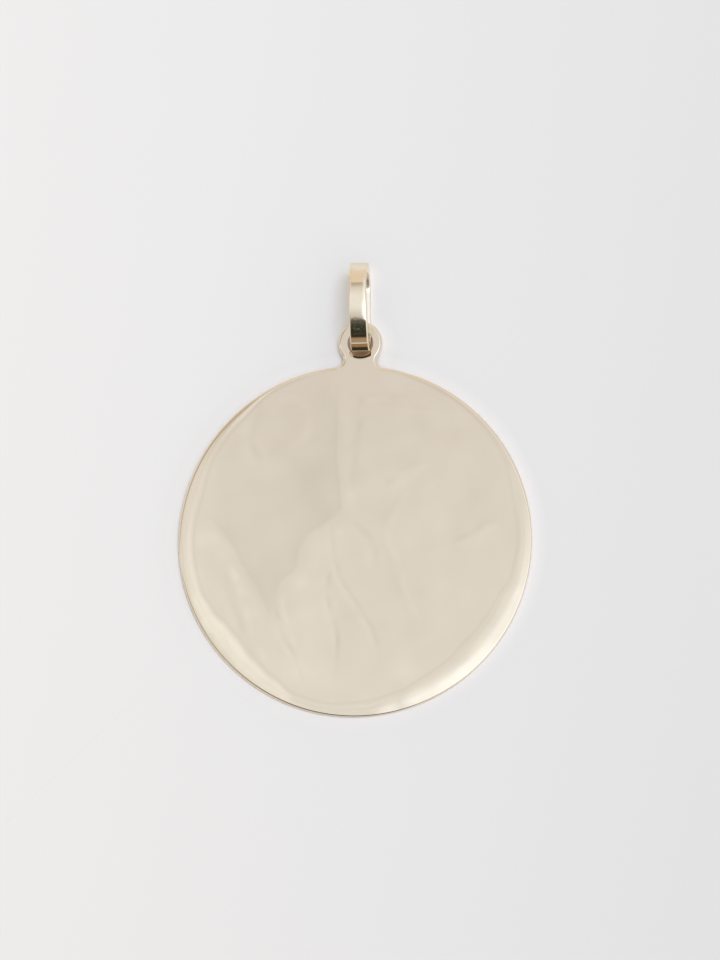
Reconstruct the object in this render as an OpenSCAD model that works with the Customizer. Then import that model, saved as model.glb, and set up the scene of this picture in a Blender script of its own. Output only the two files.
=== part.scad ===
// Disc pendant: a plain round plate with a ring ear on its rim, and a closed strip
// bail that passes through the ear. The pendant lies face up: the bail on its back
// leg, the ear across that leg, and the far rim of the plate on the surface.
// The pendant's length runs along Y, with the bail at the +Y end.

/* [Disc] */
// Diameter of the round plate
disc_d = 35; // [24:0.5:45]
// Thickness of the plate and of its ear
plate_t = 0.5; // [0.4:0.02:0.7]

/* [Ear] */
// Width of the metal between the ear's hole and its outer edge
ear_wall = 0.95; // [0.7:0.05:1.4]
// Distance from the plate's rim to the nearest point of the ear's outer circle
ear_lift = 0.1; // [0:0.02:0.4]
// Radius of the hollow corners where the ear runs into the rim
neck_fillet_r = 0.75; // [0.5:0.05:1.2]
// Bevel on both edges of the ear's hole
hole_bevel = 0.08; // [0.04:0.02:0.14]

/* [Bail] */
// Width of the strip that the bail is bent from
strip_w = 1.8; // [1.4:0.05:2.6]
// Thickness of the strip
strip_t = 0.45; // [0.35:0.05:0.6]
// Overall length of the closed loop
bail_len = 8.84; // [7:0.02:12]
// Outside radius of the bend at the end that holds the chain
top_bend_r = 2.6; // [2.1:0.05:3]
// Outside radius of the bend that passes through the ear
low_bend_r = 2.35; // [2:0.05:2.8]
// Outside radius of the bowed front leg
front_r = 14; // [11:0.5:30]
// Turn of the resting bail about the upright axis, in degrees
bail_turn = 2; // [-4:0.5:4]
// Sideways place of the resting bail in the ear's hole
bail_side = 0.12; // [-0.18:0.01:0.18]

/* [Clearances] */
// Gap between each side of the strip and the ear's hole
hole_side_gap = 0.35; // [0.2:0.025:0.6]
// Gap between the bail's lower bend and the wall of the hole
hole_end_gap = 0.05; // [0.03:0.01:0.15]
// Gap between the ear and the bail's back leg that it rests across
rest_gap = 0.03; // [0.02:0.01:0.1]

/* [Hidden] */
$fn = 128;
// Overlap of a cutter past the face it cuts
cut = 0.1;

// Ear: its hole follows the strip, its ring follows the hole
disc_r = disc_d / 2;
hole_r = strip_w / 2 + hole_side_gap;
ear_r = hole_r + ear_wall;
ear_y = disc_r + ear_lift + ear_r;

// Neck: each hollow corner's circle touches the rim and the ear's outer circle
fillet_to_disc = disc_r + neck_fillet_r;
fillet_to_ear = ear_r + neck_fillet_r;
fillet_y = (fillet_to_disc ^ 2 - fillet_to_ear ^ 2 + ear_y ^ 2) / (2 * ear_y);
fillet_x = sqrt(fillet_to_disc ^ 2 - fillet_y ^ 2);
// Angles, from +X, of the right hollow corner's centre seen from the disc and the ear
disc_touch_a = atan2(fillet_y, fillet_x);
ear_touch_a = atan2(fillet_y - ear_y, fillet_x);

// Bail loop: two end bends and a flat back leg between their centres, in one plane
leg_len = bail_len - low_bend_r - top_bend_r;
bend_rise = top_bend_r - low_bend_r;
bend_dist = norm([leg_len, bend_rise]);

// Bowed front leg: its centre is the third corner of a triangle with those of the bends
front_to_low = front_r - low_bend_r;
front_to_top = front_r - top_bend_r;
low_corner_a = acos((front_to_low ^ 2 + bend_dist ^ 2 - front_to_top ^ 2) / (2 * front_to_low * bend_dist));
low_to_front_a = atan2(bend_rise, leg_len) - low_corner_a;

// Where the edges of the strip meet the wall of the hole, from the hole's centre
pass_x = strip_w / 2 + abs(bail_side);
pass_y = sqrt(hole_r ^ 2 - pass_x ^ 2);

// Place of the bail: its lower bend clears the hole at the height of the plate's face
pass_z = strip_t + rest_gap + plate_t;
low_bend_y = hole_end_gap - pass_y + sqrt(low_bend_r ^ 2 - (low_bend_r - pass_z) ^ 2);
low_centre = [low_bend_y, low_bend_r];
top_centre = [low_bend_y + leg_len, top_bend_r];
front_centre = low_centre + front_to_low * [cos(low_to_front_a), sin(low_to_front_a)];

// Seat of the ear on the inner face of the strip, and the tilt that it gives the plate
low_in_r = low_bend_r - strip_t;
seat_z = low_bend_r - sqrt(low_in_r ^ 2 - (low_bend_y - pass_y) ^ 2) + rest_gap;
plate_tilt = asin(seat_z / (disc_r + ear_y + pass_y));

// The middle of the whole pendant's length, which lies over the origin
loop_end_y = top_centre[0] + top_bend_r;
top_y = ear_y + loop_end_y * cos(bail_turn) + strip_w / 2 * abs(sin(bail_turn));
mid_y = (top_y - disc_r) / 2;

// Neck between the plate and the ear, with both hollow corners cut
module neck_outline() {
    low = disc_r * [cos(disc_touch_a), sin(disc_touch_a)];
    high = [0, ear_y] + ear_r * [cos(ear_touch_a), sin(ear_touch_a)];
    difference() {
        polygon([low, high, [-high[0], high[1]], [-low[0], low[1]]]);
        for (side = [-1, 1])
            translate([side * fillet_x, fillet_y])
                circle(neck_fillet_r);
    }
}

// Outline of the plate and its ear, which are stamped in one piece
module plate_outline() {
    circle(disc_r);
    translate([0, ear_y])
        circle(ear_r);
    neck_outline();
}

// Hole of the ear, bevelled on both faces
module ear_hole() {
    flare_h = hole_bevel + cut;
    translate([0, ear_y, -cut])
        cylinder(r = hole_r, h = plate_t + 2 * cut);
    translate([0, ear_y, -cut])
        cylinder(r1 = hole_r + flare_h, r2 = hole_r, h = flare_h);
    translate([0, ear_y, plate_t - hole_bevel])
        cylinder(r1 = hole_r, r2 = hole_r + flare_h, h = flare_h);
}

// The plate with its ear, tilted so that the ear clears the bail's back leg
module disc() {
    color("#d8cfbf")
        translate([0, -mid_y - disc_r, 0])
            rotate([plate_tilt, 0, 0])
                translate([0, disc_r, 0])
                    difference() {
                        linear_extrude(plate_t)
                            plate_outline();
                        ear_hole();
                    }
}

// Point at a distance r from the front leg's centre, on the ray through the point p
function front_ray(p, r) = front_centre + r * (p - front_centre) / norm(p - front_centre);

// Outline of the loop moved in by inset: length along X, height along Y
module loop_outline(inset) {
    // Beyond this radius the straight side of the wedge clears the bowed leg
    wedge_r = (front_r + cut) * front_to_low / (front_to_low - bend_dist / 2);
    translate(low_centre)
        circle(low_bend_r - inset);
    translate(top_centre)
        circle(top_bend_r - inset);
    intersection() {
        translate(front_centre)
            circle(front_r - inset);
        polygon([
            low_centre,
            front_ray(low_centre, wedge_r),
            front_ray(top_centre, wedge_r),
            top_centre
        ]);
    }
    polygon([
        [low_centre[0], inset],
        [top_centre[0], inset],
        top_centre,
        low_centre
    ]);
}

// The bail, lying on its back leg through the ear's hole
module bail() {
    color("#dccdae")
        translate([bail_side, ear_y - mid_y, 0])
            rotate([0, 0, bail_turn])
                rotate([90, 0, 90])
                    linear_extrude(strip_w, center = true)
                        difference() {
                            loop_outline(0);
                            loop_outline(strip_t);
                        }
}

disc();
bail();
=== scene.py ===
import math

import bpy
import numpy as np
from mathutils import Matrix, Vector
from mathutils.geometry import delaunay_2d_cdt


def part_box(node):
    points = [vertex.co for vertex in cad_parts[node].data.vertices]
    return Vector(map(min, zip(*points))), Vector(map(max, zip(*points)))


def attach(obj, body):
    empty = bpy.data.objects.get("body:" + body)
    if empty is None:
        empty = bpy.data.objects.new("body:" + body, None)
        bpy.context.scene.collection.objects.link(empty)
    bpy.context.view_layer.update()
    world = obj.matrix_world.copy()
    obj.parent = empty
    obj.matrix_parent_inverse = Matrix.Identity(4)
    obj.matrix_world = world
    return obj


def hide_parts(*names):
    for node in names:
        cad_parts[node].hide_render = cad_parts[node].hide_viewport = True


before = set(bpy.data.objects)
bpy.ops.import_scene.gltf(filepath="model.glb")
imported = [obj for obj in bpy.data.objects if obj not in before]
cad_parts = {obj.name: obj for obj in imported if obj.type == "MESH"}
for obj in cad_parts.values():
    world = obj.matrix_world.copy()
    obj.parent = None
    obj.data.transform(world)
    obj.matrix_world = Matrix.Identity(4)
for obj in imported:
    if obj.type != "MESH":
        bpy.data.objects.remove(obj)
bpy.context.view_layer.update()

MM = 0.001

# Plate and ear, in millimetres, as the solids have them
PLATE_T = 0.5
DISC_R = 17.5
EAR_WALL = 0.95
EAR_LIFT = 0.1
NECK_FILLET_R = 0.75

# Bail
STRIP_W = 1.8
STRIP_T = 0.45
BAIL_LEN = 8.84
TOP_BEND_R = 2.6
LOW_BEND_R = 2.35
FRONT_R = 14.0
BAIL_TURN = math.radians(2)
BAIL_SIDE = 0.12

# Gaps between the bail and the ear
HOLE_SIDE_GAP = 0.35
HOLE_END_GAP = 0.05
REST_GAP = 0.03

# The ear follows the strip that passes through its hole
HOLE_R = STRIP_W / 2 + HOLE_SIDE_GAP
EAR_R = HOLE_R + EAR_WALL
EAR_Y = DISC_R + EAR_LIFT + EAR_R

# Places worked out from the frame: the far rim of the plate lies at the low end of its length
RIM_Y = -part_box("bail")[1].y / MM
EAR_FRAME_Y = RIM_Y + DISC_R + EAR_Y
PASS_X = STRIP_W / 2 + BAIL_SIDE
PASS_Y = math.sqrt(HOLE_R**2 - PASS_X**2)
PASS_Z = STRIP_T + REST_GAP + PLATE_T
LOW_BEND_Y = HOLE_END_GAP - PASS_Y + math.sqrt(LOW_BEND_R**2 - (LOW_BEND_R - PASS_Z) ** 2)
SEAT_Z = LOW_BEND_R - math.sqrt((LOW_BEND_R - STRIP_T) ** 2 - (LOW_BEND_Y - PASS_Y) ** 2) + REST_GAP
PLATE_TILT = math.asin(SEAT_Z / (DISC_R + EAR_Y + PASS_Y))

# Softened edges, which the solids leave sharp
TOP_EDGE_R = 0.3
LOW_EDGE_R = 0.12
HOLE_EDGE_R = 0.08
STRIP_EDGE_R = 0.15
# The plate's top edge is crisper at the far right: its radius there, the place as an angle from +X
# towards the far rim, and the angles from that place where the crispness starts and is full
FAR_EDGE_R = 0.13
FAR_EDGE_PLACE = 45
FAR_EDGE_REACH = (92, 40)
# The face rolls into the hole, more so where the bail bears on it: width and slope there and
# elsewhere. The worn side starts and is full at these shares of the way from the hole's middle
HOLE_ROLL_WIDTH = (0.38, 0.04)
HOLE_ROLL_SLOPE = (9.0, 2.0)
HOLE_WORN = (0.55, 0.75)
# How far the strip's faces fall away towards their right and left edges, outside and inside
STRIP_CROWN = (0.025, 0.007)
INNER_CROWN = (0.045, 0.007)
# The strip's right edge is drawn in a little where the front leg stands highest: share, place and
# reach along the loop, and the heights where it starts and is full
WAIST = 0.10
WAIST_Y = 4.7
WAIST_REACH = 1.9
WAIST_HEIGHTS = (2.0, 4.4)

# How the polish rolls the plate's face off towards its rim.
# Columns: angle round the rim from +X in degrees, width in mm, slope at the rim in degrees
RIM_ROLL = (
    (-86, 1.4, 3.2),
    (-73, 1.8, 5.9),
    (-61, 2.3, 4.9),
    (-51, 2.4, 4.45),
    (-44, 2.6, 3.95),
    (-33, 2.45, 3.6),
    (-21, 2.25, 3.6),
    (-12, 1.6, 3.4),
    (2, 1.4, 2.6),
    (15, 1.35, 1.8),
    (33, 0.6, 2.4),
    (60, 0.5, 4.0),
    (76, 0.4, 2.0),
    (105, 0.4, 1.5),
    (120, 0.5, 4.6),
    (135, 1.1, 4.1),
    (150, 1.2, 3.2),
    (165, 1.7, 2.8),
    (181, 1.5, 3.6),
    (199, 1.6, 3.8),
    (208, 2.0, 4.0),
    (215, 2.5, 4.4),
    (222, 2.6, 4.6),
    (231, 2.3, 4.6),
    (241, 1.9, 4.2),
    (251, 1.2, 3.2),
    (262, 1.1, 2.4),
)
# How soon the slope comes in from the roll's inner edge
ROLL_POWER = 1.6
# The roll dies out towards the neck, between these angles from the ear's axis
NECK_CLEAR = (8.0, 20.0)
# Points this far outside the disc still count as on it
RIM_SLACK = 0.01
# Painted reflection, a dark line at the roll's inner edge: darkening and half width in mm
ROLL_LINE_TONE = 0.9
ROLL_LINE_WIDTH = 0.16
# Painted reflection rings across the roll, darker and lighter: darkening, how many across its width,
# and the shares of the width where they start and are full
RING_TONE = 0.35
RING_COUNT = 2.6
RING_START = (0.05, 0.3)
# Slopes of the roll, as rise over run, where its painted line and rings start to show and show in full
ROLL_TONE_SLOPES = (0.01, 0.05)

# Soft creases on the plate's face from the disc's centre, shallow dips with painted reflections along
# them.
# Columns: painted darkening of the line, painted lightening on its right, half width in mm, painted
# shade on the face on its left, how far that reaches in mm, points in mm
CREASES = (
    (0.85, 0.6, 0.20, -0.2, 1.5, (
        (-1.4, 2.2), (-2.2, 1.0), (-2.05, -0.3), (-1.8, -1.7), (-1.4, -3.2), (-0.7, -4.6),
        (0.2, -5.8), (1.2, -7.3), (2.1, -8.8), (2.6, -10.4), (3.1, -12.6))),
    (1.4, 0.4, 0.18, 0.2, 1.5, (
        (-2.2, -2.6), (-2.4, -3.9), (-2.5, -5.1), (-2.2, -6.7), (-1.6, -8.3), (-1.35, -9.8),
        (-1.4, -11.4), (-1.6, -14.4))),
    (0.9, 0.6, 0.19, -0.3, 1.2, (
        (-7.8, -6.3), (-7.1, -8.4), (-6.6, -9.8), (-5.9, -10.9), (-5.3, -12.0), (-4.4, -14.6))),
    (0.5, 0.8, 0.40, 1.1, 3.2, (
        (-15.4, 2.6), (-13.4, 0.8), (-12.3, -0.6), (-11.3, -2.4), (-10.4, -3.7), (-9.4, -5.3),
        (-8.6, -6.9), (-7.6, -9.0))),
    (0.3, 0.6, 0.50, 1.15, 2.8, (
        (-7.7, -7.4), (-7.2, -4.5), (-5.7, -3.1), (-5.4, -1.1), (-4.4, 0.5), (-3.4, 1.2),
        (-2.4, 2.0), (-1.3, 2.8))),
    (-0.9, -0.4, 0.30, 0.0, 1.0, (
        (-12.8, -1.2), (-11.7, -4.0), (-11.0, -6.0), (-10.3, -8.0), (-9.8, -9.8), (-8.8, -11.6),
        (-7.0, -13.8))),
    (0.5, 0.4, 0.25, 0.0, 1.0, ((-12.9, -4.4), (-11.3, -7.6), (-10.2, -10.1), (-8.2, -12.6))),
    (-0.8, 0.0, 0.22, 0.0, 1.0, ((-7.0, -3.8), (-6.9, -6.8), (-6.2, -8.8), (-5.5, -11.1))),
    (0.3, 0.6, 0.35, 1.2, 1.9, ((-1.3, 2.2), (-1.5, 5.0), (-1.9, 8.6), (-1.9, 15.6))),
    (0.7, 0.0, 0.30, 0.0, 1.0, ((-0.3, 4.6), (-0.2, 8.2), (0.2, 12.3), (0.3, 15.0))),
    (0.8, 0.4, 0.35, 0.0, 1.0, (
        (-9.4, 14.4), (-9.8, 13.2), (-10.3, 11.4), (-10.3, 9.4), (-9.5, 7.4))),
    (-0.6, 0.0, 0.40, 0.0, 1.0, (
        (-8.8, 12.0), (-8.0, 13.8), (-6.2, 14.2), (-4.8, 12.6), (-5.2, 10.4), (-7.4, 8.6))),
    (-0.55, -0.3, 0.26, 0.0, 1.0, (
        (5.6, 5.6), (4.8, 4.0), (3.7, 2.1), (3.3, 0.7), (3.8, -0.9), (4.5, -2.4), (5.2, -4.7),
        (5.9, -6.5), (7.2, -8.4))),
    (0.7, 0.3, 0.30, 0.0, 1.0, ((-0.2, 2.0), (0.6, 1.2), (1.5, 0.2), (2.2, -1.3), (2.3, -3.4))),
    (0.8, 0.4, 0.24, 0.3, 1.6, ((9.6, 0.0), (11.0, 0.6), (11.8, 1.0), (12.9, 1.9), (14.6, 2.3))),
    (0.6, 0.4, 0.30, 0.3, 1.8, ((2.8, 5.4), (3.8, 6.2), (5.1, 7.3), (7.4, 8.7))),
    (0.35, 0.2, 0.14, 0.0, 1.0, ((0.6, 14.5), (2.6, 14.7), (5.2, 14.4))),
    (0.3, 0.2, 0.14, 0.0, 1.0, ((1.6, 13.6), (5.0, 13.5), (8.4, 12.9))),
)
# All creases together: depth in mm, share of their width and of their painted reflection, and the
# share of their length over which each end fades
CREASE_HEIGHT = 0.0011
CREASE_SPREAD = 1.3
CREASE_TONE = 0.72
CREASE_ENDS = 0.15
# In half widths of the line: where the painted light band lies and its own half width, and where the
# painted shade of the face starts and is full
BAND_PLACE = 2
BAND_WIDTH = 1.4
FADE_START = 0.3
FADE_FULL = -0.5

# Spots of painted reflection. Columns: darkening, x, y, reach across, reach along in mm, turn in degrees
PAINTED_REFLECTION_SPOTS = (
    (1.2, -4.6, 5.2, 2.3, 3.4, 20),
    (0.4, -12.3, 6.9, 1.6, 2.6, -20),
    (0.3, -7.0, 13.2, 1.0, 1.0, 0),
    (0.3, 6.2, 11.5, 1.2, 0.9, 0),
    (0.35, 12.2, 4.8, 1.8, 2.2, 0),
    (0.25, 6.5, -3.3, 0.9, 1.2, 0),
    (0.3, 5.5, -9.0, 0.9, 0.8, 0),
    (-0.9, -15.4, -0.3, 1.0, 0.8, 0),
    (-0.35, -13.9, -3.0, 1.4, 2.0, 15),
    (-0.5, -4.4, -7.0, 1.8, 3.4, 5),
    (-0.8, 5.2, -12.9, 1.5, 1.2, 0),
    (-0.5, 8.6, -4.6, 1.2, 1.4, 0),
    (-0.4, 2.0, 8.6, 1.6, 2.0, 20),
    (-0.35, 6.4, 2.4, 2.6, 3.4, 0),
    (-0.9, -4.8, -13.4, 3.2, 1.5, -15),
    (0.3, 2.0, 12.0, 5.5, 2.0, 0),
)
# Random waves over the face. Columns: seed, how many, least and greatest length in mm
SWELL = (7, 14, (3.0, 9.0))
PATCHES = (3, 9, (1.6, 4.0))
MOTTLE = (5, 16, (1.6, 5.0))
# Slope of the swell, how far the patches vary the creases and between which limits, and how dark
# the mottle is
SWELL_SLOPE = 0.0011
PATCH_DEPTH = 0.4
PATCH_LIMITS = (0.2, 1.8)
MOTTLE_TONE = 0.09
# Distances from the rim where creases, painted reflection spots and waves end and where they are full
FINISH_MARGINS = (0.4, 2.5)
# Painted highlight: the rounded edge is painted brighter than the face
EDGE_PAINTED_HIGHLIGHT = -1.6

# Mesh steps in millimetres
RIM_STEP = 0.22
EAR_STEP = 0.12
FACE_STEP = 0.165
BACK_STEP = 0.55
BEND_STEP = 0.06
BOW_STEP = 0.12
# Distance over which the face's slope at the edge is measured
SLOPE_PROBE = 0.02
# Steps round the hole, over the rounded edges, over the roll into the hole, along the bail's back
# leg, and over the strip's faces and corners
HOLE_STEPS = 120
EDGE_STEPS = 7
TOP_EDGE_STEPS = 11
ROLL_STEPS = 9
BACK_LEG_STEPS = 16
CROWN_STEPS = 12
CORNER_STEPS = 9
# Rings that lead from the edges into the face and the underside, by their distance from the edge
FACE_LEAD = (0.015, 0.05, 0.1, 0.16)
HOLE_BACK_LEAD = (0.12, 0.04, 0.01)
HOLE_FACE_LEAD = 0.05
# How far the inner points of the face and the underside keep from the rim and from the hole
FACE_MARGINS = (TOP_EDGE_R + 0.25, HOLE_EDGE_R + HOLE_ROLL_WIDTH[0] + 0.1)
BACK_MARGINS = (0.4, 0.35)
# Inner points in the neck: half the width that they take up, and how far they reach into the ear
NECK_HALF_W = 1.2
NECK_REACH = 0.5
# For the triangulation: its output type with only the faces inside the outer ring, and how near
# two points are merged
INSIDE_OUTLINE = 1
MERGE_WITHIN = 1e-9

# Gold of the plate and of the bail: lighter and darker tint, turns of the hairlines in degrees,
# least and greatest roughness, whether the plate takes its painted reflections, and how much rougher
# the bail is inside, where it also takes a painted highlight
PLATE_GOLD = {
    "light": (0.90, 0.835, 0.715),
    "dark": (0.76, 0.70, 0.592),
    "hairline_turns": (12, 68, 131),
    "roughness": (0.035, 0.07),
    "painted_reflections_and_mottle": True,
}
# The bail's gold is painted paler than the plate's, painted light for the brighter light on the bail
BAIL_GOLD = {
    "light": (0.965, 0.895, 0.75),
    "dark": (0.90, 0.825, 0.69),
    "hairline_turns": (84, 97, 160),
    "roughness": (0.03, 0.06),
    "satin": 0.18,
}
# The bail's inside is painted lighter, a painted highlight for light bounced between its legs
INSIDE_PAINTED_HIGHLIGHT = (1.0, 0.97, 0.91, 1)
EDGE_ON_TINT = (0.90, 0.85, 0.76, 1)
# Depth in the strip, as a share of its thickness, where the inside's satin and its painted highlight
# start and are full
INSIDE_DEPTHS = (0.6, 0.95)
# In what follows a range is a value's low and high, then what it becomes at each. A cut is only the
# low and high, between which something comes in. Noise scales are per metre

# Haze: noise scale, and range from the noise to the share of the darker tint
HAZE_SCALE = 260
HAZE_RANGE = (0.3, 0.7, 0.44, 0.56)
# Share of the darker tint that the plate's painted reflections and mottle add at full strength
PAINTED_REFLECTION_SHARE = 0.3
# Hairlines: noise scale along each axis, and cut. Coarser noise, turned by more degrees for each
# direction, breaks them up
HAIRLINE_SCALE = (260, 16000, 260)
HAIRLINE_CUT = (0.66, 0.74)
BREAK_SCALE = (500, 900, 500)
BREAK_CUT = (0.5, 0.66)
BREAK_TURN = 31
HAIRLINE_ROUGHNESS = 0.1
HAIRLINE_DEPTH = 0.8
ROUGHNESS_SCALE = 900
ROUGHNESS_CUT = (0.3, 0.75)
# Fine relief of the polish: noise scale, strength, and height in metres
PEEL_SCALE = 1100
PEEL_STRENGTH = 0.06
PEEL_HEIGHT = 0.000006

# Paper floor: half its side, its colours on the left and right, and the places across where each is
# full, in metres. The right is painted darker, painted shade for light that falls off across it
FLOOR_REACH = 8.0
PAPER_LEFT = (0.755, 0.756, 0.758, 1)
PAPER_RIGHT = (0.655, 0.657, 0.665, 1)
PAPER_SIDES = (-0.04, 0.045)
PAPER_ROUGHNESS = 0.7
PAPER_SPECULAR = 0.2
GRAIN_SCALE = 2500
GRAIN_RANGE = (0.3, 0.7, 0.0, 0.02)
GRAIN_COLOUR = (0.6, 0.6, 0.6, 1)
# Next to the pendant the paper is painted lighter, painted light for what its polished edge throws
# back, and in narrow places it is painted warm brown, painted shade tinted by the gold: how far round
# a point openness is measured in metres, and where each takes over
OPENNESS_REACH = 0.0016
OPENNESS_SAMPLES = 8
LIT_RANGE = (1.0, 0.55, 0.0, 0.9)
PAINTED_LIGHT_PAPER = (0.93, 0.91, 0.90, 1)
WARM_SHADE_RANGE = (0.2, 0.45)
PAINTED_WARM_SHADE = (0.55, 0.30, 0.16, 1)

# Tent of light, by the direction that the gold mirrors. Angles are in degrees from the zenith:
# along is towards +Y and across is towards +X. Columns: angle along, colour
TENT_MIDDLE = (
    (-90, (0.46, 0.36, 0.27)),
    (-84, (0.38, 0.265, 0.175)),
    (-70, (0.40, 0.275, 0.18)),
    (-62, (0.28, 0.19, 0.12)),
    (-57, (0.04, 0.03, 0.02)),
    (-24, (0.020, 0.022, 0.015)),
    (-18, (0.045, 0.042, 0.032)),
    (-13.5, (0.15, 0.135, 0.115)),
    (-12, (0.60, 0.56, 0.53)),
    (-9, (0.67, 0.65, 0.63)),
    (-5, (0.82, 0.81, 0.80)),
    (-2, (0.885, 0.865, 0.855)),
    (4, (0.885, 0.865, 0.855)),
    (8, (0.86, 0.84, 0.82)),
    (10.5, (0.80, 0.76, 0.74)),
    (13.5, (0.72, 0.67, 0.64)),
    (15.8, (0.50, 0.43, 0.36)),
    (17.4, (0.56, 0.48, 0.39)),
    (19.5, (0.82, 0.71, 0.57)),
    (30, (0.79, 0.66, 0.51)),
    (52, (0.80, 0.67, 0.54)),
    (68, (0.81, 0.69, 0.56)),
    (80, (0.84, 0.75, 0.66)),
    (90, (0.90, 0.84, 0.79)),
)
TENT_LEFT = (
    (-90, (0.50, 0.42, 0.33)),
    (-60, (0.26, 0.18, 0.12)),
    (-55, (0.04, 0.03, 0.02)),
    (-24, (0.024, 0.024, 0.018)),
    (-17, (0.09, 0.075, 0.065)),
    (-13.5, (0.15, 0.135, 0.115)),
    (-12, (0.70, 0.66, 0.62)),
    (-5, (0.92, 0.90, 0.88)),
    (0, (0.98, 0.96, 0.94)),
    (3, (1.05, 1.03, 1.01)),
    (6, (1.00, 0.98, 0.96)),
    (9, (0.90, 0.87, 0.85)),
    (12, (0.76, 0.71, 0.66)),
    (15, (0.50, 0.42, 0.34)),
    (18, (0.55, 0.46, 0.37)),
    (24, (0.80, 0.68, 0.54)),
    (52, (0.78, 0.66, 0.53)),
    (90, (0.78, 0.70, 0.60)),
)
TENT_FAR_LEFT = (
    (-90, (0.42, 0.35, 0.27)),
    (-60, (0.34, 0.27, 0.20)),
    (-48, (0.17, 0.13, 0.09)),
    (-22, (0.17, 0.13, 0.09)),
    (-14, (0.36, 0.30, 0.23)),
    (-8, (0.72, 0.67, 0.61)),
    (0, (0.84, 0.81, 0.77)),
    (9, (0.83, 0.79, 0.74)),
    (13, (0.58, 0.50, 0.42)),
    (19, (0.46, 0.36, 0.27)),
    (28, (0.80, 0.68, 0.54)),
    (90, (0.78, 0.70, 0.60)),
)
TENT_RIGHT = (
    (-90, (0.6, 0.55, 0.5)),
    (-50, (0.38, 0.30, 0.22)),
    (-30, (0.45, 0.36, 0.27)),
    (-20, (0.85, 0.84, 0.83)),
    (-14, (1.0, 1.02, 1.07)),
    (-3, (1.0, 1.02, 1.07)),
    (4, (0.80, 0.81, 0.83)),
    (9, (0.73, 0.725, 0.72)),
    (15, (0.62, 0.60, 0.57)),
    (40, (0.54, 0.48, 0.40)),
    (90, (0.52, 0.45, 0.36)),
)
# The lit side's gain over its table, and its colour farthest out
RIGHT_GAIN = (1.5, 1.5, 1.5, 1)
RIGHT_END = (0.72, 0.68, 0.62, 1)
# Angles across where each part of the tent starts and where it is full
LEFT_ACROSS = (-6.5, -9.5)
FAR_LEFT_ACROSS = (-11.5, -15)
RIGHT_ACROSS = (-1.5, 6)
RIGHT_END_ACROSS = (22, 40)
# The lit side starts farther out below the dark opening's edge, by up to so many degrees
RIGHT_FARTHER = (-12.5, -16, 0.0, 12.0)

# Zones of the tent, which hold where all their rows do. Columns: angle, where it starts, where it is full
DARK_OPENING = (("along", -52, -42), ("along", -13, -18))
HIGH_CLOTH = (("across", -7.2, -9.0), ("across", -11.2, -9.6), ("along", 10, 18))
RIGHT_NEARER = (("along", 4.5, 0), ("along", -12, -9))
LOW_LEFT = (("across", -22, -34), ("along", -8, -16))
HIGH_LEFT = (("across", -20, -30), ("across", -54, -46), ("along", 20, 30), ("along", 58, 48))
# Degrees that the white cloth reaches higher and that the lit side comes nearer
HIGH_CLOTH_SIZE = 22.0
RIGHT_NEARER_SIZE = 2.0
LOW_LEFT_COLOUR = (0.53, 0.46, 0.38, 1)
HIGH_LEFT_COLOUR = (0.22, 0.14, 0.08, 1)
HIGH_LEFT_SHARE = 0.55

# Unevenness of the cloth, on a sphere of radius 1: slow ripple in degrees, fine fraying with its
# range from the angle along to degrees, and a faint mottle
RIPPLE_SCALE = 9.0
RIPPLE_SIZE = 1.6
FRAY_SCALE = 60.0
FRAY_RANGE = (-7, -12, 0.0, 6.0)
CLOTH_SCALE = 40.0
CLOTH_RANGE = (0.3, 0.7, 0.97, 1.03)
# Pale mottle in the dark opening
GLINT_SCALE = 42.0
GLINT_RANGE = (0.50, 0.72, 0.0, 0.17)
GLINT_COLOUR = (0.9, 0.95, 0.75, 1)
# Keeps the angle along from going round behind the horizon
LEAST_Z = 0.0001

# What the tent sends to the floor, and how much more comes from +X and from +Y, so that the
# pendant's shadows lie on the left
FLOOR_LIGHT = (0.905, 0.855, 0.79, 1)
FLOOR_LEAN = (0.38, 0.12)
BACKDROP = (0.82, 0.82, 0.82, 1)

# Softbox: power in watts, place and size in metres
KEY_POWER = 0.92
KEY_COLOUR = (0.88, 1.0, 1.2)
KEY_PLACE = (0.14, 0.09, 0.50)
KEY_SIZE = 0.22

# Camera: the photo's view, 5 degrees towards +X and 9.9 towards the far rim. The nearest distance
# that it sees is in metres
CAMERA_DISTANCE = 400.0
CAMERA_AIM = (0.348, RIM_Y + 23.537, 0.5)
CAMERA_LEAN_X = math.radians(5.0)
CAMERA_LEAN_Y = math.radians(9.9)
CAMERA_ROLL = math.radians(1.75)
SENSOR_HEIGHT = 24.0
LENS = 101.06
CLIP_START = 0.01


def smoothstep(low, high, value):
    """From 0 at low to 1 at high, easing at both ends."""
    share = np.clip((np.asarray(value, float) - low) / (high - low), 0, 1)
    return share * share * (3 - 2 * share)


def blend(share, none, full):
    """From none where the share is 0 to full where it is 1."""
    return none * (1 - share) + full * share


def arc(centre, radius, start, end, step):
    """Points on an arc, without its last one, and the directions from its centre; angles in degrees."""
    count = max(3, math.ceil(abs(math.radians(end - start)) * radius / step))
    angles = np.radians(np.linspace(start, end, count, endpoint=False))
    directions = np.stack([np.cos(angles), np.sin(angles)], -1)
    return np.array(centre) + radius * directions, directions


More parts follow.
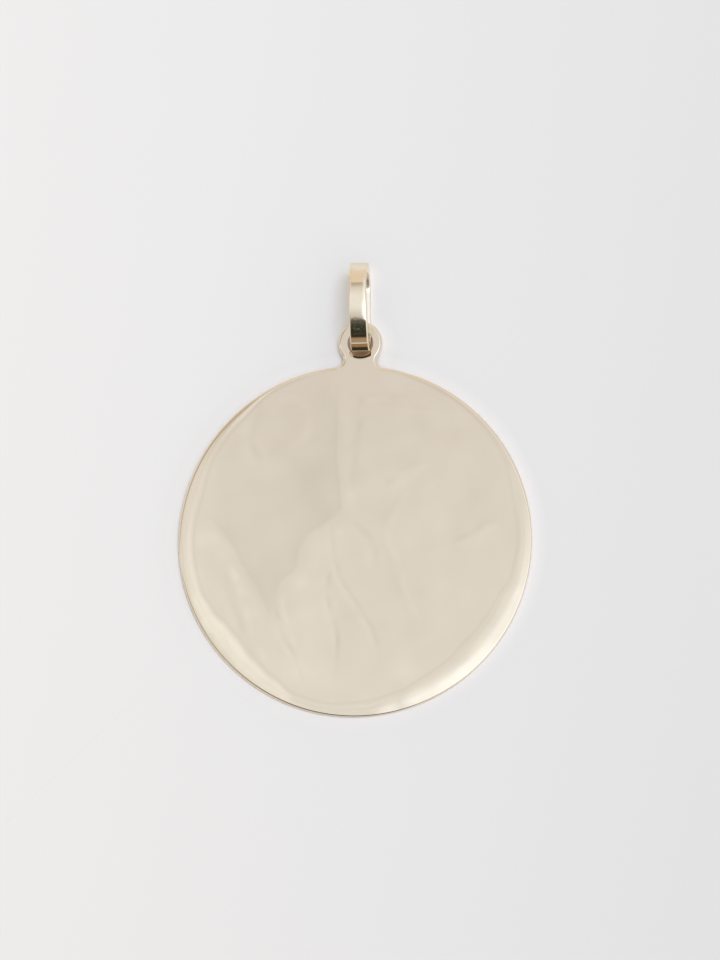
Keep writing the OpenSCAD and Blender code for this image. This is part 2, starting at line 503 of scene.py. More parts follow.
def plate_outline():
    """The outline of the plate and its ear, anticlockwise, with normals that point out of the metal."""
    to_disc = DISC_R + NECK_FILLET_R
    to_ear = EAR_R + NECK_FILLET_R
    fillet_y = (to_disc**2 - to_ear**2 + EAR_Y**2) / (2 * EAR_Y)
    fillet_x = math.sqrt(to_disc**2 - fillet_y**2)
    disc_a = math.degrees(math.atan2(fillet_y, fillet_x))
    ear_a = math.degrees(math.atan2(fillet_y - EAR_Y, fillet_x))
    pieces = (
        (arc((0, EAR_Y), EAR_R, ear_a, 180 - ear_a, EAR_STEP), 1),
        (arc((-fillet_x, fillet_y), NECK_FILLET_R, -ear_a, -disc_a, EAR_STEP / 2), -1),
        (arc((0, 0), DISC_R, 180 - disc_a, 360 + disc_a, RIM_STEP), 1),
        (arc((fillet_x, fillet_y), NECK_FILLET_R, 180 + disc_a, 180 + ear_a, EAR_STEP / 2), -1),
    )
    points = np.concatenate([p for (p, _), _ in pieces])
    normals = np.concatenate([d * sign for (_, d), sign in pieces])
    return points, normals


def edge_radius(points):
    """Radius of the top edge at points of the outline."""
    angle = np.degrees(np.arctan2(-points[:, 1], points[:, 0]))
    crisp = smoothstep(*FAR_EDGE_REACH, np.abs(angle - FAR_EDGE_PLACE))
    return blend(crisp, TOP_EDGE_R, FAR_EDGE_R)


def roll_size(x, y):
    """Width of the roll-off at the point's angle round the rim, and its slope at the rim."""
    first_angle, *first_size = RIM_ROLL[0]
    table = np.array([*RIM_ROLL, (first_angle + 360, *first_size)], float)
    angle = np.degrees(np.arctan2(y, x))
    angle = np.where(angle < first_angle, angle + 360, angle)
    index = np.clip(np.searchsorted(table[:, 0], angle, side="right") - 1, 0, len(RIM_ROLL) - 1)
    start, width_a, slope_a = table[index].T
    end, width_b, slope_b = table[index + 1].T
    share = smoothstep(0, 1, (angle - start) / (end - start))
    slope = np.tan(np.radians(blend(share, slope_a, slope_b)))
    return blend(share, width_a, width_b), slope * smoothstep(*NECK_CLEAR, np.abs(angle - 90))


def rim_roll(x, y):
    """How far the polish has lowered the plate's face at a point, in millimetres."""
    width, slope = roll_size(x, y)
    from_centre = np.hypot(x, y)
    into = np.clip(1 - (DISC_R - from_centre) / width, 0, 1)
    fall = into - (1 - (1 - into) ** (ROLL_POWER + 1)) / (ROLL_POWER + 1)
    return np.where(from_centre < DISC_R + RIM_SLACK, slope * width * fall, 0.0)


def roll_painted_reflection(x, y):
    """Painted reflection of the roll: a painted dark line at its inner edge and painted rings beyond it.
    """
    width, slope = roll_size(x, y)
    into = 1 - (DISC_R - np.hypot(x, y)) / width
    line = np.exp(-((into * width / ROLL_LINE_WIDTH) ** 2))
    rings = np.sin(2 * math.pi * RING_COUNT * np.clip(into, 0, 1)) * smoothstep(*RING_START, into)
    return smoothstep(*ROLL_TONE_SLOPES, slope) * (ROLL_LINE_TONE * line + RING_TONE * rings)


def smooth_line(points, steps=5):
    """A curve through the points of a line (Catmull-Rom), as more points."""
    p = np.array(points, float)
    p = np.vstack([2 * p[0] - p[1], p, 2 * p[-1] - p[-2]])
    t = np.linspace(0, 1, steps, endpoint=False)[:, None]
    spans = []
    for a, b, c, d in zip(p[:-3], p[1:-2], p[2:-1], p[3:]):
        bend = (2 * a - 5 * b + 4 * c - d) * t**2 + (3 * b - a - 3 * c + d) * t**3
        spans.append(0.5 * (2 * b + (c - a) * t + bend))
    return np.vstack([*spans, p[-2]])


def crease_distance(x, y, points):
    """Distance to a crease, negative on its left, and how far along it from 0 to 1 it is nearest."""
    best = np.full(x.shape, np.inf)
    signed = np.zeros(x.shape)
    along = np.zeros(x.shape)
    spans = len(points) - 1
    for i, ((x0, y0), (x1, y1)) in enumerate(zip(points[:-1], points[1:])):
        dx, dy = x1 - x0, y1 - y0
        t = np.clip(((x - x0) * dx + (y - y0) * dy) / (dx * dx + dy * dy), 0, 1)
        away = np.hypot(x - x0 - t * dx, y - y0 - t * dy)
        side = np.sign((x - x0) * dy - (y - y0) * dx)
        near = away < best
        best = np.where(near, away, best)
        signed = np.where(near, away * side, signed)
        along = np.where(near, (i + t) / spans, along)
    return signed, along


def crease_dip_and_painted_reflection(x, y, patchy, dark, light, half_width, face, reach, points):
    """What one crease does to the face: its height in millimetres, and its painted reflection as a
    darkening.
    """
    signed, along = crease_distance(x, y, smooth_line(points))
    width = half_width * CREASE_SPREAD
    dark = dark * CREASE_TONE * patchy
    light = light * CREASE_TONE * patchy
    ends = smoothstep(0, CREASE_ENDS, along) * smoothstep(1, 1 - CREASE_ENDS, along)
    line = np.exp(-((signed / width) ** 2)) * ends
    band = np.exp(-(((signed - BAND_PLACE * width) / (BAND_WIDTH * width)) ** 2)) * ends
    beside = smoothstep(FADE_START * width, FADE_FULL * width, signed)
    fade = np.exp(np.minimum(signed, 0) / reach) * beside * ends
    return -CREASE_HEIGHT * dark * line, dark * line - light * band + face * fade


def painted_spot(x, y, dark, spot_x, spot_y, across, along, turn):
    """Darkening of the face by one spot of painted reflection."""
    c, s = math.cos(math.radians(turn)), math.sin(math.radians(turn))
    u = ((x - spot_x) * c + (y - spot_y) * s) / across
    v = (-(x - spot_x) * s + (y - spot_y) * c) / along
    return dark * np.exp(-(u * u + v * v))


def random_waves(x, y, seed, count, lengths):
    """Plane waves of unit height over the points, each with its length in millimetres."""
    draw = np.random.default_rng(seed)
    for _ in range(count):
        length = draw.uniform(*lengths)
        turn, phase = draw.uniform(0, 2 * math.pi, 2)
        yield length, np.sin(2 * math.pi * (x * math.cos(turn) + y * math.sin(turn)) / length + phase)


def random_field(x, y, seed, count, lengths):
    """A smooth random field of about unit size."""
    return sum(wave for _, wave in random_waves(x, y, seed, count, lengths)) * math.sqrt(2 / count)


def face_relief_and_painted_reflection(x, y):
    """The plate's face at points: small heights in millimetres, and its painted reflections with a random
    mottle, as a darkening.
    """
    swell = random_waves(x, y, *SWELL)
    height = sum(SWELL_SLOPE * length / (2 * math.pi) * wave for length, wave in swell)
    patchy = np.clip(1 + PATCH_DEPTH * random_field(x, y, *PATCHES), *PATCH_LIMITS)
    tone = MOTTLE_TONE * random_field(x, y, *MOTTLE)
    for crease in CREASES:
        crease_height, crease_reflection = crease_dip_and_painted_reflection(x, y, patchy, *crease)
        height += crease_height
        tone += crease_reflection
    for spot in PAINTED_REFLECTION_SPOTS:
        tone += painted_spot(x, y, *spot)
    inner = smoothstep(DISC_R - FINISH_MARGINS[0], DISC_R - FINISH_MARGINS[1], np.hypot(x, y))
    return height * inner, tone * inner + roll_painted_reflection(x, y)


def top_z(x, y):
    """Height of the plate's face, above the plate's underside."""
    return PLATE_T - rim_roll(x, y) + face_relief_and_painted_reflection(x, y)[0]


def inner_points(step, rim_margin, hole_margin):
    """Points of a triangular grid over the plate and its ear, clear of the rim and of the hole."""
    rows = np.arange(-DISC_R, EAR_Y + EAR_R, step * math.sqrt(3) / 2)
    columns = np.arange(-DISC_R, DISC_R, step)
    x, y = np.meshgrid(columns, rows)
    x = (x + (np.arange(len(rows)) % 2)[:, None] * step / 2).ravel()
    y = y.ravel()
    from_ear = np.hypot(x, y - EAR_Y)
    on_disc = np.hypot(x, y) < DISC_R - rim_margin
    on_ear = from_ear < EAR_R - rim_margin
    on_neck = (np.abs(x) < NECK_HALF_W) & (y > 0) & (y < EAR_Y - EAR_R + NECK_REACH)
    kept = (on_disc | on_ear | on_neck) & (from_ear > HOLE_R + hole_margin)
    return np.stack([x[kept], y[kept]], -1)


def within(points, ring):
    """Which of the points lie inside a closed ring of points."""
    found = np.zeros(len(points), bool)
    x, y = points.T
    for (x0, y0), (x1, y1) in zip(ring, np.roll(ring, -1, axis=0)):
        if y0 != y1:
            found ^= ((y0 > y) != (y1 > y)) & (x < x0 + (y - y0) * (x1 - x0) / (y1 - y0))
    return found


class MeshParts:
    """Collects vertices and faces of one mesh."""

    def __init__(self):
        self.points = []
        self.faces = []
        self.count = 0

    def add(self, points):
        """Adds vertices and returns their numbers."""
        self.points.append(np.asarray(points, float))
        first = self.count
        self.count += len(points)
        return np.arange(first, self.count)

    def strip(self, ring_a, ring_b):
        """Quads between two closed rings of as many vertices, facing out when b lies beyond a."""
        after_a, after_b = np.roll(ring_a, -1), np.roll(ring_b, -1)
        self.faces += np.stack([ring_a, after_a, after_b, ring_b], -1).tolist()

    def fill(self, outer, hole, inner, flip):
        """Triangles between a closed ring and the ring of a hole in it, through the inner points."""
        loops = np.concatenate([outer, hole])
        every = np.concatenate(self.points)
        ids = np.concatenate([loops, self.add(inner)])
        flat = np.concatenate([every[loops][:, :2], inner[:, :2]])
        edges = []
        for first, ring in ((0, outer), (len(outer), hole)):
            edges += [(first + i, first + (i + 1) % len(ring)) for i in range(len(ring))]
        found = delaunay_2d_cdt([Vector(p) for p in flat], edges, [], INSIDE_OUTLINE, MERGE_WITHIN)
        verts, faces, origin = found[0], found[2], found[3]
        where = [int(ids[o[0]]) for o in origin]
        place = np.array([v[:] for v in verts])
        centres = np.array([place[face].mean(0) for face in faces])
        for face, left_out in zip(faces, within(centres, every[hole][:, :2])):
            if not left_out:
                corners = [where[i] for i in face]
                self.faces.append(corners[::-1] if flip else corners)

    def build(self, name, to_frame):
        """Makes the piece, and returns it with its points as they were added."""
        mesh = bpy.data.meshes.new(name)
        points = np.concatenate(self.points)
        mesh.from_pydata((to_frame(points) * MM).tolist(), [], self.faces)
        mesh.validate()
        mesh.shade_smooth()
        piece = bpy.data.objects.new(name, mesh)
        bpy.context.scene.collection.objects.link(piece)
        return piece, points


def add_layer(piece, name, values):
    """Stores a number for each vertex of a piece, for its material."""
    layer = piece.data.attributes.new(name, "FLOAT", "POINT")
    layer.data.foreach_set("value", values.astype(np.float32))


def plate_to_frame(points):
    """From the plate's own place, with its underside level, to where it lies."""
    x, y, z = points.T
    length = y + DISC_R
    return np.stack([
        x,
        RIM_Y + length * math.cos(PLATE_TILT) - z * math.sin(PLATE_TILT),
        length * math.sin(PLATE_TILT) + z * math.cos(PLATE_TILT),
    ], -1)


def bail_to_frame(points):
    """From the bail's own place, with its lower bend at the hole's middle, to where it lies."""
    x, y, z = points.T
    c, s = math.cos(BAIL_TURN), math.sin(BAIL_TURN)
    return np.stack([BAIL_SIDE + x * c - y * s, EAR_FRAME_Y + x * s + y * c, z], -1)


def lower_edge(radius):
    """Steps up a rounded edge from the underside to the wall: how far in from the wall, and how high."""
    for angle in np.radians(np.linspace(0, 90, EDGE_STEPS)):
        yield radius * (1 - math.sin(angle)), radius * (1 - math.cos(angle))


def upper_edge(radius, slope, steps):
    """Steps up a rounded edge from the wall to a sloping face: how far in from the wall, and how high
    above the middle of the rounding."""
    for share in np.linspace(0, 1, steps):
        angle = math.pi / 2 + (slope - math.pi / 2) * share
        yield radius * (1 - np.sin(angle)), radius * np.cos(angle)


def rim_rings():
    """Rings of points from the underside's flat, round the rim, to the face."""
    outline, normals = plate_outline()

    def inward(offset):
        return outline - normals * np.reshape(offset, (-1, 1))

    def ring(offset, height):
        return np.column_stack([inward(offset), np.broadcast_to(height, len(outline))])

    def face_z(offset):
        return top_z(*inward(offset).T)

    edge = edge_radius(outline)
    slope = np.arctan((face_z(edge) - face_z(edge - SLOPE_PROBE)) / SLOPE_PROBE)
    inset = edge * (1 - np.sin(slope))
    centre_z = face_z(inset) - edge * np.cos(slope)
    rings = [ring(offset, height) for offset, height in lower_edge(LOW_EDGE_R)]
    rings += [ring(offset, centre_z + rise) for offset, rise in upper_edge(edge, slope, TOP_EDGE_STEPS)]
    rings += [ring(inset + lead, face_z(inset + lead)) for lead in FACE_LEAD]
    return rings


def hole_rings():
    """Rings of points from the underside's flat, round the wall of the ear's hole, to the face."""
    turns = np.radians(np.linspace(0, 360, HOLE_STEPS, endpoint=False))
    circle = np.stack([np.cos(turns), np.sin(turns)], -1)
    worn = smoothstep(*HOLE_WORN, -circle[:, 1])
    width = blend(1 - worn, *HOLE_ROLL_WIDTH)
    slope = np.radians(blend(1 - worn, *HOLE_ROLL_SLOPE))
    # The roll is a cubic that leaves the hole's edge with this slope and levels out at its end
    fall = np.tan(slope) * width * 2 / 3
    start = HOLE_R + HOLE_EDGE_R * (1 - np.sin(slope))
    centre_z = PLATE_T - fall - HOLE_EDGE_R * np.cos(slope)
    steps = [(HOLE_R + HOLE_EDGE_R + lead, 0.0) for lead in HOLE_BACK_LEAD]
    steps += [(HOLE_R + offset, height) for offset, height in lower_edge(HOLE_EDGE_R)]
    over_edge = upper_edge(HOLE_EDGE_R, slope, EDGE_STEPS)
    steps += [(HOLE_R + offset, centre_z + rise) for offset, rise in over_edge]
    for share in np.linspace(0, 1, ROLL_STEPS)[1:]:
        steps.append((start + width * share, PLATE_T - fall * (1 - 1.5 * share + 0.5 * share**3)))
    steps.append((start + width + HOLE_FACE_LEAD, PLATE_T))
    rings = []
    for radius, height in steps:
        flat = np.array([0, EAR_Y]) + np.reshape(radius, (-1, 1)) * circle
        rings.append(np.column_stack([flat, np.broadcast_to(height, len(flat))]))
    return rings


def build_plate():
    """The plate with its ear, in one closed mesh."""
    parts = MeshParts()
    rim = [parts.add(ring) for ring in rim_rings()]
    edge_count = parts.count - len(FACE_LEAD) * len(rim[0])
    for a, b in zip(rim[:-1], rim[1:]):
        parts.strip(a, b)
    hole = [parts.add(ring) for ring in hole_rings()]
    for a, b in zip(hole[:-1], hole[1:]):
        parts.strip(b, a)
    face = inner_points(FACE_STEP, *FACE_MARGINS)
    face = np.column_stack([face, top_z(*face.T)])
    parts.fill(rim[-1], hole[-1], face, flip=False)
    back = inner_points(BACK_STEP, *BACK_MARGINS)
    back = np.column_stack([back, np.zeros(len(back))])
    parts.fill(rim[0], hole[0], back, flip=True)
    plate, points = parts.build("pendant_plate", plate_to_frame)
    # Painted reflections on the face, with a random mottle, and a painted highlight on the edges
    tone = face_relief_and_painted_reflection(points[:, 0], points[:, 1])[1] * (points[:, 2] > PLATE_T / 2)
    tone[:edge_count] = EDGE_PAINTED_HIGHLIGHT
    add_layer(plate, "painted_reflections_and_mottle", tone)
    return plate


def bail_path():
    """Stations round the loop: outer point and outward normal, in (length, height)."""
    leg = BAIL_LEN - LOW_BEND_R - TOP_BEND_R
    low = np.array([LOW_BEND_Y, LOW_BEND_R])
    top = np.array([LOW_BEND_Y + leg, TOP_BEND_R])
    apart = math.hypot(leg, TOP_BEND_R - LOW_BEND_R)
    # The front leg's centre is the third corner of a triangle with those of the bends
    to_low, to_top = FRONT_R - LOW_BEND_R, FRONT_R - TOP_BEND_R
    corner = math.acos((to_low**2 + apart**2 - to_top**2) / (2 * to_low * apart))
    turn = math.atan2(TOP_BEND_R - LOW_BEND_R, leg) - corner
    front = low + to_low * np.array([math.cos(turn), math.sin(turn)])
    low_a = math.degrees(math.atan2(*(low - front)[::-1]))
    top_a = math.degrees(math.atan2(*(top - front)[::-1]))
    back_y = np.linspace(low[0], top[0], BACK_LEG_STEPS, endpoint=False)
    pieces = [
        (np.stack([back_y, np.zeros(BACK_LEG_STEPS)], -1), np.tile([0.0, -1.0], (BACK_LEG_STEPS, 1))),
        arc(top, TOP_BEND_R, -90, top_a, BEND_STEP),
        arc(front, FRONT_R, top_a, low_a, BOW_STEP),
        arc(low, LOW_BEND_R, low_a, 270, BEND_STEP),
    ]
    return np.concatenate([p for p, _ in pieces]), np.concatenate([d for _, d in pieces])


def strip_side(crown):
    """Half of one broad face of the strip with its corner: (across, depth) from the middle outwards.
    The depth grows with the cube of the distance across, so its slope ends at 3 crown / reach."""
    reach = STRIP_W / 2 - STRIP_EDGE_R
    reach += STRIP_EDGE_R * math.sin(math.atan(3 * crown / reach))
    slope = math.atan(3 * crown / reach)
    across = reach * np.sin(np.linspace(0, math.pi / 2, CROWN_STEPS))
    face = np.stack([across, crown * (across / reach) ** 3], -1)
    angles = np.linspace(slope, math.pi / 2, CORNER_STEPS)[1:]
    corner = np.stack([
        reach + STRIP_EDGE_R * (np.sin(angles) - math.sin(slope)),
        crown + STRIP_EDGE_R * (math.cos(slope) - np.cos(angles)),
    ], -1)
    return np.concatenate([face, corner])


def strip_section():
    """The strip's section, closed: (across, depth) with depth 0 at the middle of the outer face."""
    halves = []
    for outer_crown, inner_crown in zip(STRIP_CROWN, INNER_CROWN):
        outer = strip_side(outer_crown)
        inner = strip_side(inner_crown) * (1, -1) + (0, STRIP_T)
        halves.append(np.concatenate([outer, inner[::-1]]))
    right, left = halves
    return np.concatenate([right, left[1:-1][::-1] * (-1, 1)])


def right_share(stations):
    """Share of the strip's right half that each station of the loop keeps."""
    near = np.exp(-(((stations[:, 0] - WAIST_Y) / WAIST_REACH) ** 2))
    return 1 - WAIST * near * smoothstep(*WAIST_HEIGHTS, stations[:, 1])


def build_bail():
    """The bail, in one closed mesh, with a column of vertices round the loop for each section point."""
    parts = MeshParts()
    outer, normals = bail_path()
    section = strip_section()
    columns = []
    for across, depth in section:
        side = across * right_share(outer) if across > 0 else np.full(len(outer), across)
        columns.append(parts.add(np.column_stack([side, outer - normals * depth])))
    for a, b in zip(columns, columns[1:] + columns[:1]):
        parts.strip(a, b)
    bail, _ = parts.build("strip_bail", bail_to_frame)
    depths = np.repeat(section[:, 1] / STRIP_T, len(outer))
    add_layer(bail, "inner", smoothstep(*INSIDE_DEPTHS, depths))
    return bail


class Graph:
    """Adds nodes to one node tree and hands back their output sockets."""

    def __init__(self, tree):
        self.tree = tree
        tree.nodes.clear()

    def add(self, kind, inputs=(), **settings):
        """Adds a node, and returns the node itself."""
        node = self.tree.nodes.new(kind)
        for name, value in settings.items():
            setattr(node, name, value)
        self.feed(node, inputs)
        return node

    def feed(self, node, inputs):
        """Links sockets to a node's inputs, or sets them to plain values."""
        for name, value in dict(inputs).items():
            if isinstance(value, bpy.types.NodeSocket):
                self.tree.links.new(value, node.inputs[name])
            else:
                node.inputs[name].default_value = value

    def math(self, operation, a, b=0.0, clamp=False):
        return self.add("ShaderNodeMath", {0: a, 1: b}, operation=operation, use_clamp=clamp).outputs[0]

    def map(self, value, low, high, low_out=0.0, high_out=1.0, smooth=True):
        """The value's way from low to high, as a value from low_out to high_out."""
        kind = "SMOOTHSTEP" if smooth else "LINEAR"
        inputs = {0: value, 1: low, 2: high, 3: low_out, 4: high_out}
        return self.add("ShaderNodeMapRange", inputs, interpolation_type=kind).outputs[0]

    def mix(self, share, a, b, blend_type="MIX"):
        inputs = {0: share, 6: a, 7: b}
        return self.add("ShaderNodeMix", inputs, data_type="RGBA", blend_type=blend_type).outputs[2]

    def scaled(self, colour, share):
        """The colour times a value."""
        grey = self.add("ShaderNodeCombineColor", {0: share, 1: share, 2: share}).outputs[0]
        return self.mix(1.0, colour, grey, "MULTIPLY")

    def ramp(self, value, stops):
        """A colour ramp over 0 to 1. stops are (place, (r, g, b)), in rising order of place."""
        node = self.add("ShaderNodeValToRGB", {0: value})
        elements = node.color_ramp.elements
        while len(elements) < len(stops):
            elements.new(0.5)
        for element, (place, colour) in zip(elements, stops):
            element.position = place
            element.color = (*colour, 1)
        return node.outputs[0]

    def noise(self, vector, scale, detail=2.0, roughness=0.5):
        inputs = {"Vector": vector, "Scale": scale, "Detail": detail, "Roughness": roughness}
        return self.add("ShaderNodeTexNoise", inputs).outputs["Fac"]

    def layer(self, name):
        """The number that add_layer stored."""
        return self.add("ShaderNodeAttribute", attribute_name=name).outputs["Fac"]

    def stretched(self, vector, scale, turn):
        """The vector with its own scale along each axis, turned about Z first."""
        turned = self.add("ShaderNodeMapping", {"Vector": vector, "Rotation": (0, 0, math.radians(turn))})
        return self.add("ShaderNodeMapping", {"Vector": turned.outputs[0], "Scale": scale}).outputs[0]


def new_material(name):
    """A material with a principled shader: the material, its graph and the shader."""
    material = bpy.data.materials.new(name)
    material.use_nodes = True
    graph = Graph(material.node_tree)
    shader = graph.add("ShaderNodeBsdfPrincipled")
    graph.add("ShaderNodeOutputMaterial", {0: shader.outputs[0]})
    return material, graph, shader


def hairlines(graph, place, turns):
    """Thin streaks in a few directions, broken up by coarse noise."""
    lines = 0.0
    for i, turn in enumerate(turns):
        streak = graph.noise(graph.stretched(place, HAIRLINE_SCALE, turn), 1.0, detail=1)
        gaps = graph.noise(graph.stretched(place, BREAK_SCALE, turn + BREAK_TURN * i), 1.0, detail=1)
        line = graph.math("MULTIPLY", graph.map(streak, *HAIRLINE_CUT), graph.map(gaps, *BREAK_CUT))
        lines = graph.math("MAXIMUM", lines, line)
    return lines


def gold(name, light, dark, hairline_turns, roughness, painted_reflections_and_mottle=False, satin=0.0):
    """Polished pale gold with a soft haze, cloudy roughness and hairlines from wiping."""
    material, graph, shader = new_material(name)
    place = graph.add("ShaderNodeTexCoord").outputs["Object"]
    tint = graph.map(graph.noise(place, HAZE_SCALE, detail=3), *HAZE_RANGE, smooth=False)
    # The plate's painted reflections and random mottle darken or lighten the tint
    if painted_reflections_and_mottle:
        painted_tone = graph.math("MULTIPLY", graph.layer("painted_reflections_and_mottle"), PAINTED_REFLECTION_SHARE)
        tint = graph.math("ADD", tint, painted_tone, clamp=True)
    colour = graph.mix(tint, (*light, 1), (*dark, 1))

    lines = hairlines(graph, place, hairline_turns)
    cloudy = graph.noise(place, ROUGHNESS_SCALE, detail=4)
    rough = graph.map(cloudy, *ROUGHNESS_CUT, *roughness, smooth=False)
    rough = graph.math("ADD", rough, graph.math("MULTIPLY", lines, HAIRLINE_ROUGHNESS))
    if satin:
        inner = graph.layer("inner")
        # The inside is painted lighter, a painted highlight, and made rougher
        colour = graph.mix(inner, colour, INSIDE_PAINTED_HIGHLIGHT)
        rough = graph.math("ADD", rough, graph.math("MULTIPLY", inner, satin))

    peel = graph.noise(place, PEEL_SCALE, detail=2)
    relief = graph.math("SUBTRACT", peel, graph.math("MULTIPLY", lines, HAIRLINE_DEPTH))
    bump = {"Strength": PEEL_STRENGTH, "Distance": PEEL_HEIGHT, "Height": relief}
    graph.feed(shader, {
        "Base Color": colour,
        "Roughness": rough,
        "Metallic": 1.0,
        "Specular Tint": EDGE_ON_TINT,
        "Normal": graph.add("ShaderNodeBump", bump).outputs[0],
    })
    return material


def floor_paper():
    """Matt pale paper, painted darker towards the right, with painted light and painted warm shade next
    to the pendant.
    """
    material, graph, shader = new_material("floor_paper")
    place = graph.add("ShaderNodeTexCoord").outputs["Object"]
    x = graph.add("ShaderNodeSeparateXYZ", {0: place}).outputs[0]
    # Painted shade: the paper is painted darker towards the right
    paper = graph.mix(graph.map(x, *PAPER_SIDES, smooth=False), PAPER_LEFT, PAPER_RIGHT)
    grain = graph.noise(place, GRAIN_SCALE, detail=4)
    paper = graph.mix(graph.map(grain, *GRAIN_RANGE), paper, GRAIN_COLOUR)
    reach = {"Distance": OPENNESS_REACH}
    openness = graph.add("ShaderNodeAmbientOcclusion", reach, samples=OPENNESS_SAMPLES).outputs["AO"]
    # Painted light where the paper is half open, and painted warm shade where it is nearly closed in
    paper = graph.mix(graph.map(openness, *LIT_RANGE, smooth=False), paper, PAINTED_LIGHT_PAPER)
    paper = graph.mix(graph.map(openness, *WARM_SHADE_RANGE), PAINTED_WARM_SHADE, paper)
    graph.feed(shader, {
        "Base Color": paper,
        "Roughness": PAPER_ROUGHNESS,
        "Specular IOR Level": PAPER_SPECULAR,
    })
    return material


def add_floor():
    """A large sheet of paper on the surface that the pendant lies on."""
    mesh = bpy.data.meshes.new("floor")
    corners = [(x * FLOOR_REACH, y * FLOOR_REACH, 0) for x, y in ((-1, -1), (1, -1), (1, 1), (-1, 1))]
    mesh.from_pydata(corners, [], [(0, 1, 2, 3)])
    floor = bpy.data.objects.new("floor", mesh)
    bpy.context.scene.collection.objects.link(floor)
    floor.data.materials.append(floor_paper())


def zone_share(graph, angles, zone, size=1.0):
    """How far a direction lies in a zone of the tent, from 0 to size."""
    share = size
    for name, start, full in zone:
        share = graph.math("MULTIPLY", share, graph.map(angles[name], start, full))
    return share


def uneven_along(graph, ray, angles):
    """The angle along, bent as cloth bends the tent's edges."""
    ripple = graph.math("SUBTRACT", graph.noise(ray, RIPPLE_SCALE, detail=3), 0.5)
    bent = graph.math("ADD", angles["along"], graph.math("MULTIPLY", ripple, RIPPLE_SIZE))
    fray = graph.math("SUBTRACT", graph.noise(ray, FRAY_SCALE, detail=2), 0.5)
    fray = graph.math("MULTIPLY", fray, graph.map(angles["along"], *FRAY_RANGE))
    bent = graph.math("ADD", bent, fray)
    # The white cloth reaches higher in a narrow place on the left
    return graph.math("SUBTRACT", bent, zone_share(graph, angles, HIGH_CLOTH, HIGH_CLOTH_SIZE))


def lit_side(graph, angles):
    """How much the lit side at +X takes over. It starts farther out below the dark opening's edge,
    and nearer just above it."""
    farther = graph.map(angles["along"], *RIGHT_FARTHER)
    nearer = zone_share(graph, angles, RIGHT_NEARER, RIGHT_NEARER_SIZE)
    across = graph.math("ADD", graph.math("SUBTRACT", angles["across"], farther), nearer)
    return graph.map(across, *RIGHT_ACROSS)


def tent_colour(graph, ray, angles):
    """Colour of the tent in a direction."""
    place = graph.map(uneven_along(graph, ray, angles), -90, 90, smooth=False)
    middle, left, far_left, right = [
        graph.ramp(place, [((along + 90) / 180, colour) for along, colour in table])
        for table in (TENT_MIDDLE, TENT_LEFT, TENT_FAR_LEFT, TENT_RIGHT)
    ]
    right = graph.mix(1.0, right, RIGHT_GAIN, "MULTIPLY")
    right = graph.mix(graph.map(angles["across"], *RIGHT_END_ACROSS), right, RIGHT_END)

    glint = graph.map(graph.noise(ray, GLINT_SCALE, detail=4, roughness=0.65), *GLINT_RANGE)
    glint = graph.math("MULTIPLY", glint, zone_share(graph, angles, DARK_OPENING))
    middle = graph.mix(glint, middle, GLINT_COLOUR)
    left = graph.mix(graph.map(angles["across"], *FAR_LEFT_ACROSS), left, far_left)
    colour = graph.mix(graph.map(angles["across"], *LEFT_ACROSS), middle, left)
    colour = graph.mix(lit_side(graph, angles), colour, right)

    # Farther out on the left the low part is lighter again, and a patch high up is darker. In the
    # photo's view only steep edges see that patch
    colour = graph.mix(zone_share(graph, angles, LOW_LEFT), colour, LOW_LEFT_COLOUR)
    corner = graph.math("MULTIPLY", zone_share(graph, angles, HIGH_LEFT), HIGH_LEFT_SHARE)
    colour = graph.mix(corner, colour, HIGH_LEFT_COLOUR)
    cloth = graph.map(graph.noise(ray, CLOTH_SCALE, detail=3, roughness=0.6), *CLOTH_RANGE, smooth=False)
    return graph.scaled(colour, cloth)


def floor_light(graph, x, y):
    """What the open tent sends to the floor from a direction."""
    lean_x = graph.math("MULTIPLY", x, FLOOR_LEAN[0])
    lean_y = graph.math("MULTIPLY", y, FLOOR_LEAN[1])
    share = graph.math("ADD", graph.math("ADD", lean_x, lean_y), 1.0)
    return graph.scaled(FLOOR_LIGHT, share)


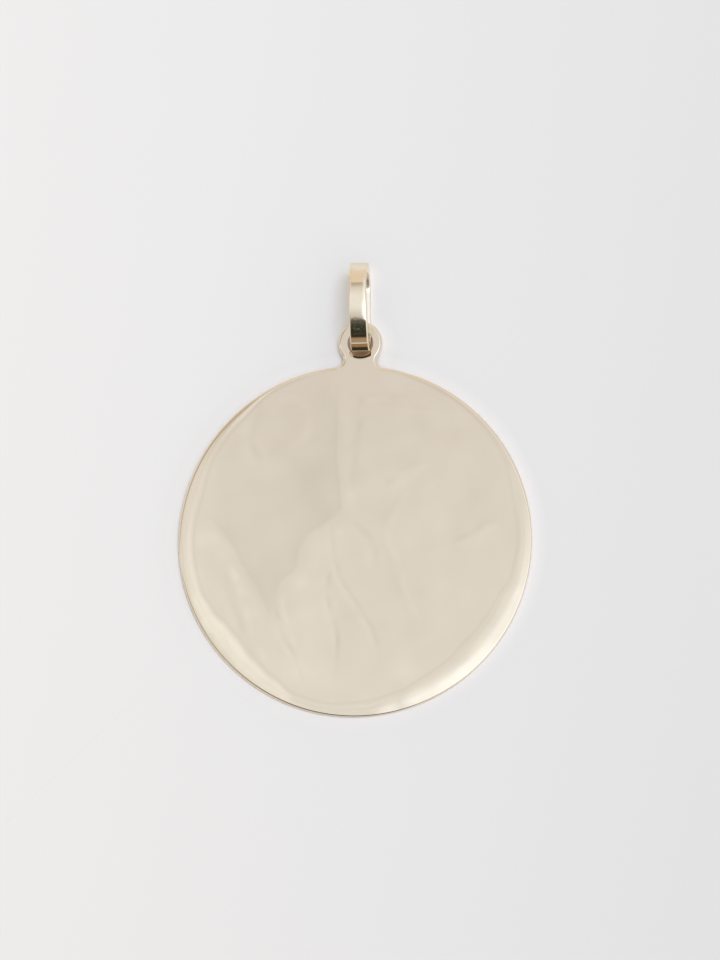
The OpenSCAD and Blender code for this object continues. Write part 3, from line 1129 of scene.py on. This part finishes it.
def add_world():
    """A pale tent of light round the pendant: white cloth overhead, a lit side at +X, and a dark
    opening towards the far rim. The camera itself sees a plain pale backdrop."""
    world = bpy.data.worlds.new("tent")
    bpy.context.scene.world = world
    world.use_nodes = True
    graph = Graph(world.node_tree)
    ray = graph.add("ShaderNodeTexCoord").outputs["Generated"]
    x, y, z = graph.add("ShaderNodeSeparateXYZ", {0: ray}).outputs
    along = graph.math("ARCTAN2", y, graph.math("MAXIMUM", z, LEAST_Z))
    across = graph.math("ARCSINE", x)
    angles = {
        "along": graph.math("MULTIPLY", along, 180 / math.pi),
        "across": graph.math("MULTIPLY", across, 180 / math.pi),
    }
    path = graph.add("ShaderNodeLightPath").outputs
    colour = graph.mix(path["Is Diffuse Ray"], tent_colour(graph, ray, angles), floor_light(graph, x, y))
    colour = graph.mix(path["Is Camera Ray"], colour, BACKDROP)
    light = graph.add("ShaderNodeBackground", {"Color": colour, "Strength": 1.0})
    graph.add("ShaderNodeOutputWorld", {0: light.outputs[0]})


def add_key_light():
    """A round softbox, which lights the floor but isn't mirrored in the gold."""
    data = bpy.data.lights.new("softbox", "AREA")
    data.shape = "DISK"
    data.size = KEY_SIZE
    data.energy = KEY_POWER
    data.color = KEY_COLOUR
    key = bpy.data.objects.new("softbox", data)
    bpy.context.scene.collection.objects.link(key)
    key.location = KEY_PLACE
    key.rotation_euler = (-Vector(KEY_PLACE)).to_track_quat("-Z", "Y").to_euler()
    key.visible_glossy = False


def add_camera():
    """The photo's camera, by its lean from the zenith and its roll."""
    aim = Vector(CAMERA_AIM)
    away = Vector((math.tan(CAMERA_LEAN_X), -math.tan(CAMERA_LEAN_Y), 1)).normalized()
    forward = -away
    right = forward.cross(Vector((0, 1, 0))).normalized()
    up = right.cross(forward)
    rolled_right = math.cos(CAMERA_ROLL) * right + math.sin(CAMERA_ROLL) * up
    rolled_up = math.cos(CAMERA_ROLL) * up - math.sin(CAMERA_ROLL) * right
    data = bpy.data.cameras.new("camera")
    data.sensor_fit = "VERTICAL"
    data.sensor_height = SENSOR_HEIGHT
    data.lens = LENS
    data.clip_start = CLIP_START
    camera = bpy.data.objects.new("camera", data)
    turn = Matrix((rolled_right, rolled_up, away)).transposed()
    camera.matrix_world = Matrix.Translation((aim + CAMERA_DISTANCE * away) * MM) @ turn.to_4x4()
    bpy.context.scene.collection.objects.link(camera)
    bpy.context.scene.camera = camera


add_camera()
add_floor()
add_world()
add_key_light()
bpy.context.scene.view_settings.view_transform = "Standard"

plate = build_plate()
plate.data.materials.append(gold("plate_gold", **PLATE_GOLD))
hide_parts("disc")
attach(plate, "root")

bail = build_bail()
bail.data.materials.append(gold("bail_gold", **BAIL_GOLD))
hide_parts("bail")
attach(bail, "root")
